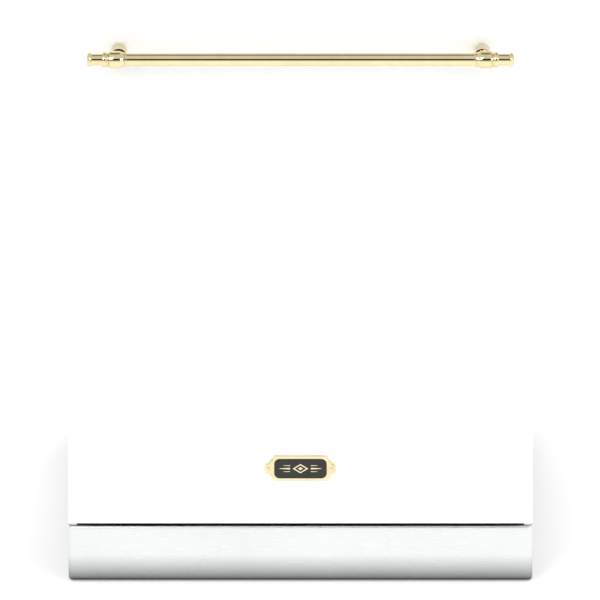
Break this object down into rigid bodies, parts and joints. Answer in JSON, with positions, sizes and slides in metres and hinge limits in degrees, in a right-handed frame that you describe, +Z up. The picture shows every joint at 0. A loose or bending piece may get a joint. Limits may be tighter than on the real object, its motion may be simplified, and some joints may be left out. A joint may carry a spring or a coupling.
{
  "type": "built in dishwasher",
  "caption": "Built in dishwasher with a glossy white drop-down door, a brass bar handle, a brass badge and a satin steel plinth.",
  "frame": {"origin": "centre of the bounding box at floor level, under the feet", "axes": "+Z up, the door faces -Y, +X to the right of someone facing the door"},
  "size_m": [0.598, 0.6184, 0.815],
  "materials": {
    "white_enamel": "gloss",
    "brass": "polished",
    "black_enamel": "gloss",
    "satin_steel": "satin",
    "tub_steel": "brushed",
    "zinc_steel": "matte",
    "black_plastic": "matte",
    "grey_plastic": "matte",
    "pale_plastic": "matte",
    "blue_plastic": "matte",
    "coated_wire": "satin",
    "rubber": "matte"
  },
  "bodies": {
    "cabinet": {"base_tray": "black_plastic", "plinth": "satin_steel", "left_side_panel": "zinc_steel", "right_side_panel": "zinc_steel", "rear_panel": "zinc_steel", "top_panel": "zinc_steel", "left_fixing_bracket": "zinc_steel", "right_fixing_bracket": "zinc_steel", "latch_strike": "zinc_steel", "tub_wrapper": "tub_steel", "tub_back": "tub_steel", "tub_floor": "tub_steel", "tub_gasket": "rubber", "left_upper_rail": "tub_steel", "right_upper_rail": "tub_steel", "left_hinge_bracket": "zinc_steel", "right_hinge_bracket": "zinc_steel", "left_spring_tube": "zinc_steel", "right_spring_tube": "zinc_steel", "sump": "black_plastic", "circulation_pump": "black_plastic", "drain_pump": "black_plastic", "inlet_valve": "pale_plastic", "riser_pipe": "grey_plastic"},
    "door": {"door_panel": "white_enamel", "door_liner": "tub_steel", "control_panel": "black_plastic", "dispenser": "pale_plastic", "left_hinge_arm": "zinc_steel", "right_hinge_arm": "zinc_steel", "handle_bar": "brass", "left_handle_mount": "brass", "right_handle_mount": "brass", "left_end_cap": "brass", "right_end_cap": "brass", "badge_plate": "brass", "badge_field": "black_enamel"},
    "lower_basket": {"lower_rack": "coated_wire"},
    "upper_basket": {"upper_rack": "coated_wire"},
    "button_power_body": {"button_power": "grey_plastic"},
    "button_program_body": {"button_program": "grey_plastic"},
    "button_delay_body": {"button_delay": "grey_plastic"},
    "button_start_body": {"button_start": "grey_plastic"},
    "dispenser_lid_body": {"dispenser_lid": "grey_plastic"},
    "rinse_aid_cap_body": {"rinse_aid_cap": "blue_plastic"},
    "filter_cup_body": {"filter_cup": "pale_plastic"},
    "salt_cap_body": {"salt_cap": "grey_plastic"},
    "lower_spray_arm_body": {"lower_spray_arm": "tub_steel"},
    "upper_spray_arm_body": {"upper_spray_arm": "tub_steel"},
    "plate_tines_body": {"plate_tines": "coated_wire"},
    "cutlery_basket_body": {"cutlery_basket": "grey_plastic"},
    "cup_shelf_body": {"cup_shelf": "coated_wire"},
    "wheel_front_left_body": {"wheel_front_left": "pale_plastic"},
    "wheel_front_right_body": {"wheel_front_right": "pale_plastic"},
    "wheel_rear_left_body": {"wheel_rear_left": "pale_plastic"},
    "wheel_rear_right_body": {"wheel_rear_right": "pale_plastic"},
    "foot_front_left_body": {"foot_front_left": "grey_plastic"},
    "foot_front_right_body": {"foot_front_right": "grey_plastic"},
    "foot_rear_left_body": {"foot_rear_left": "grey_plastic"},
    "foot_rear_right_body": {"foot_rear_right": "grey_plastic"}
  },
  "joints": [
    {"name": "door_hinge", "type": "hinge", "parent": "cabinet", "child": "door", "pos_m": [0, -0.2268, 0.143], "axis": [1, 0, 0], "range_deg": [0, 90], "stiffness_Nm_per_rad": 17},
    {"name": "lower_rack_slide", "type": "slide", "parent": "cabinet", "child": "lower_basket", "axis": [0, -1, 0], "range_m": [0, 0.15]},
    {"name": "upper_rack_slide", "type": "slide", "parent": "cabinet", "child": "upper_basket", "axis": [0, -1, 0], "range_m": [0, 0.4]},
    {"name": "wheel_front_left_roll", "type": "hinge", "parent": "lower_basket", "child": "wheel_front_left_body", "pos_m": [-0.249, -0.0888, 0.1913], "axis": [1, 0, 0], "range_deg": [0, 453]},
    {"name": "wheel_front_right_roll", "type": "hinge", "parent": "lower_basket", "child": "wheel_front_right_body", "pos_m": [0.249, -0.0888, 0.1913], "axis": [1, 0, 0], "range_deg": [0, 453]},
    {"name": "wheel_rear_left_roll", "type": "hinge", "parent": "lower_basket", "child": "wheel_rear_left_body", "pos_m": [-0.249, 0.1812, 0.1913], "axis": [1, 0, 0], "range_deg": [0, 453]},
    {"name": "wheel_rear_right_roll", "type": "hinge", "parent": "lower_basket", "child": "wheel_rear_right_body", "pos_m": [0.249, 0.1812, 0.1913], "axis": [1, 0, 0], "range_deg": [0, 453]},
    {"name": "lower_arm_spin", "type": "hinge", "parent": "cabinet", "child": "lower_spray_arm_body", "pos_m": [0, 0.0437, 0.185], "axis": [0, 0, 1], "continuous": true},
    {"name": "upper_arm_spin", "type": "hinge", "parent": "upper_basket", "child": "upper_spray_arm_body", "pos_m": [0, 0.0437, 0.5], "axis": [0, 0, 1], "continuous": true},
    {"name": "plate_tines_fold", "type": "hinge", "parent": "lower_basket", "child": "plate_tines_body", "pos_m": [0.07, 0.0834, 0.238], "axis": [1, 0, 0], "range_deg": [0, 85]},
    {"name": "cutlery_basket_lift", "type": "slide", "parent": "lower_basket", "child": "cutlery_basket_body", "axis": [0, 0, 1], "range_m": [0, 0.08]},
    {"name": "cup_shelf_fold", "type": "hinge", "parent": "upper_basket", "child": "cup_shelf_body", "pos_m": [0.235, 0.0387, 0.6288], "axis": [0, 1, 0], "range_deg": [0, 85]},
    {"name": "button_power_press", "type": "slide", "parent": "door", "child": "button_power_body", "axis": [0, 0, -1], "range_m": [0, 0.0014], "stiffness_N_per_m": 400, "springref_m": -0.001},
    {"name": "button_program_press", "type": "slide", "parent": "door", "child": "button_program_body", "axis": [0, 0, -1], "range_m": [0, 0.0014], "stiffness_N_per_m": 400, "springref_m": -0.001},
    {"name": "button_delay_press", "type": "slide", "parent": "door", "child": "button_delay_body", "axis": [0, 0, -1], "range_m": [0, 0.0014], "stiffness_N_per_m": 400, "springref_m": -0.001},
    {"name": "button_start_press", "type": "slide", "parent": "door", "child": "button_start_body", "axis": [0, 0, -1], "range_m": [0, 0.0014], "stiffness_N_per_m": 400, "springref_m": -0.001},
    {"name": "dispenser_lid_slide", "type": "slide", "parent": "door", "child": "dispenser_lid_body", "axis": [0, 0, -1], "range_m": [0, 0.045]},
    {"name": "rinse_aid_cap_twist", "type": "hinge", "parent": "door", "child": "rinse_aid_cap_body", "pos_m": [0.07, -0.2002, 0.505], "axis": [0, 1, 0], "range_deg": [0, 90]},
    {"name": "filter_cup_twist", "type": "hinge", "parent": "cabinet", "child": "filter_cup_body", "pos_m": [0, 0.1317, 0.155], "axis": [0, 0, 1], "range_deg": [0, 60]},
    {"name": "salt_cap_twist", "type": "hinge", "parent": "cabinet", "child": "salt_cap_body", "pos_m": [-0.15, 0.1317, 0.155], "axis": [0, 0, 1], "range_deg": [0, 180]},
    {"name": "foot_front_left_screw", "type": "slide", "parent": "cabinet", "child": "foot_front_left_body", "axis": [0, 0, -1], "range_m": [0, 0.04]},
    {"name": "foot_front_right_screw", "type": "slide", "parent": "cabinet", "child": "foot_front_right_body", "axis": [0, 0, -1], "range_m": [0, 0.04]},
    {"name": "foot_rear_left_screw", "type": "slide", "parent": "cabinet", "child": "foot_rear_left_body", "axis": [0, 0, -1], "range_m": [0, 0.04]},
    {"name": "foot_rear_right_screw", "type": "slide", "parent": "cabinet", "child": "foot_rear_right_body", "axis": [0, 0, -1], "range_m": [0, 0.04]}
  ],
  "couplings": [
    {"joint": "lower_rack_slide", "follows": "door_hinge", "m_per_rad": 0.095492},
    {"joint": "upper_rack_slide", "follows": "door_hinge", "m_per_rad": 0.25465},
    {"joint": "wheel_front_left_roll", "follows": "door_hinge", "ratio": 5.0259},
    {"joint": "wheel_front_right_roll", "follows": "door_hinge", "ratio": 5.0259},
    {"joint": "wheel_rear_left_roll", "follows": "door_hinge", "ratio": 5.0259},
    {"joint": "wheel_rear_right_roll", "follows": "door_hinge", "ratio": 5.0259}
  ]
}
